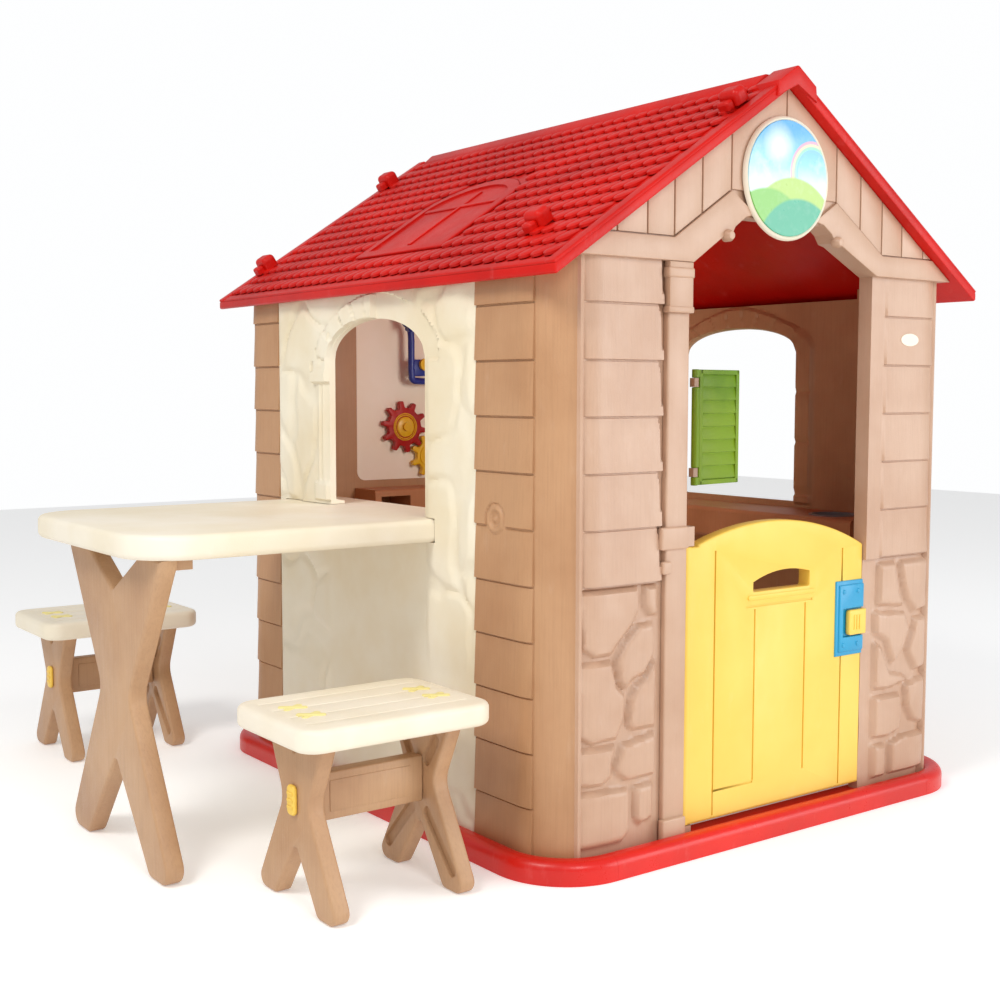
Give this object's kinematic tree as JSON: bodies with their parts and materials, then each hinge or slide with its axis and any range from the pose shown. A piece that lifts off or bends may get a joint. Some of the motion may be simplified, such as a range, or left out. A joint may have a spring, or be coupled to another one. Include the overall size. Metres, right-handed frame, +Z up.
{
  "type": "plastic playhouse",
  "caption": "Toddler's plastic playhouse with a gabled roof, half-height door, shuttered window, toy gears, a picnic table let into one wall and loose stools.",
  "frame": {"origin": "on the floor at the underside of the front base rail, below the middle of the front wall's outer face", "axes": "+X to the right along the front, +Y into the house, +Z up"},
  "size_m": [1.608, 1.353, 1.25],
  "materials": {
    "red_shell": "satin moulded plastic",
    "tan_shell": "satin moulded plastic",
    "cream_shell": "satin moulded plastic",
    "yellow_plastic": "satin moulded plastic",
    "blue_plastic": "satin moulded plastic",
    "green_plastic": "satin moulded plastic",
    "red_toy": "satin moulded plastic",
    "dark_blue_plastic": "satin moulded plastic",
    "brown_shell": "satin moulded plastic",
    "grey_plastic": "satin moulded plastic",
    "brown_leg": "satin moulded plastic",
    "badge_print": "satin moulded plastic",
    "white_label": "satin moulded plastic"
  },
  "bodies": {
    "house": {"base_front": "red_shell", "base_back": "red_shell", "base_left": "red_shell", "base_right": "red_shell", "corner_front_left": "tan_shell", "corner_front_right": "tan_shell", "corner_back_left": "tan_shell", "corner_back_right": "tan_shell", "front_wall_left": "tan_shell", "front_wall_right": "tan_shell", "door_post": "tan_shell", "front_gable": "tan_shell", "back_wall": "tan_shell", "back_gable": "tan_shell", "left_wall": "cream_shell", "right_wall": "tan_shell", "play_panel": "cream_shell", "roof_left": "red_shell", "roof_right": "red_shell", "ridge_cap": "red_shell", "roof_blocks": "red_shell", "badge_plate": "tan_shell", "badge_picture": "badge_print", "name_plate": "white_label", "door_pins": "tan_shell", "hinge_lugs": "tan_shell", "shutter_pins": "tan_shell", "shutter_lugs": "tan_shell", "gear_axles": "yellow_plastic", "crank_axle": "yellow_plastic", "side_counter": "brown_shell", "sink_bowl": "grey_plastic", "back_counter": "brown_shell", "table_top": "cream_shell", "table_leg": "brown_leg", "table_brackets": "brown_leg"},
    "door": {"door_panel": "yellow_plastic", "latch_plate": "blue_plastic"},
    "latch": {"latch_slider": "yellow_plastic"},
    "shutter_front": {"shutter_front": "green_plastic"},
    "shutter_back": {"shutter_back": "green_plastic"},
    "gear_red": {"gear_red": "red_toy", "gear_red_rose": "yellow_plastic"},
    "gear_yellow": {"gear_yellow": "yellow_plastic"},
    "crank": {"crank_arm": "dark_blue_plastic", "crank_knob": "yellow_plastic"},
    "stool_front": {"stool_front_seat": "cream_shell", "stool_front_plugs": "yellow_plastic", "stool_front_keys": "yellow_plastic", "stool_front_leg_left": "brown_leg", "stool_front_leg_right": "brown_leg", "stool_front_stretcher": "brown_leg"},
    "stool_back": {"stool_back_seat": "cream_shell", "stool_back_plugs": "yellow_plastic", "stool_back_keys": "yellow_plastic", "stool_back_leg_left": "brown_leg", "stool_back_leg_right": "brown_leg", "stool_back_stretcher": "brown_leg"}
  },
  "joints": [
    {"name": "door_hinge", "type": "hinge", "parent": "house", "child": "door", "pos_m": [-0.1915, 0.018, 0.1], "axis": [0, 0, 1], "range_deg": [-95, 0]},
    {"name": "latch_slide", "type": "slide", "parent": "door", "child": "latch", "axis": [1, 0, 0], "range_m": [0, 0.018]},
    {"name": "shutter_front_hinge", "type": "hinge", "parent": "house", "child": "shutter_front", "pos_m": [0.477, 0.344, 0.55], "axis": [0, 0, 1], "range_deg": [-70, 98]},
    {"name": "shutter_back_hinge", "type": "hinge", "parent": "house", "child": "shutter_back", "pos_m": [0.477, 0.678, 0.55], "axis": [0, 0, 1], "range_deg": [-98, 70]},
    {"name": "red_gear_spin", "type": "hinge", "parent": "house", "child": "gear_red", "pos_m": [-0.098, 0.98, 0.654], "axis": [0, 1, 0], "continuous": true},
    {"name": "yellow_gear_spin", "type": "hinge", "parent": "house", "child": "gear_yellow", "pos_m": [-0.03436, 0.98, 0.59036], "axis": [0, 1, 0], "continuous": true},
    {"name": "crank_spin", "type": "hinge", "parent": "house", "child": "crank", "pos_m": [-0.066, 0.96, 0.789], "axis": [0, 1, 0], "continuous": true},
    {"name": "stool_front_lift_off", "type": "slide", "parent": "house", "child": "stool_front", "axis": [0, -1, 0], "range_m": [0, 0.3]},
    {"name": "stool_back_lift_off", "type": "slide", "parent": "house", "child": "stool_back", "axis": [0, 1, 0], "range_m": [0, 0.3]}
  ],
  "couplings": [
    {"joint": "yellow_gear_spin", "follows": "red_gear_spin", "ratio": -1.25}
  ]
}
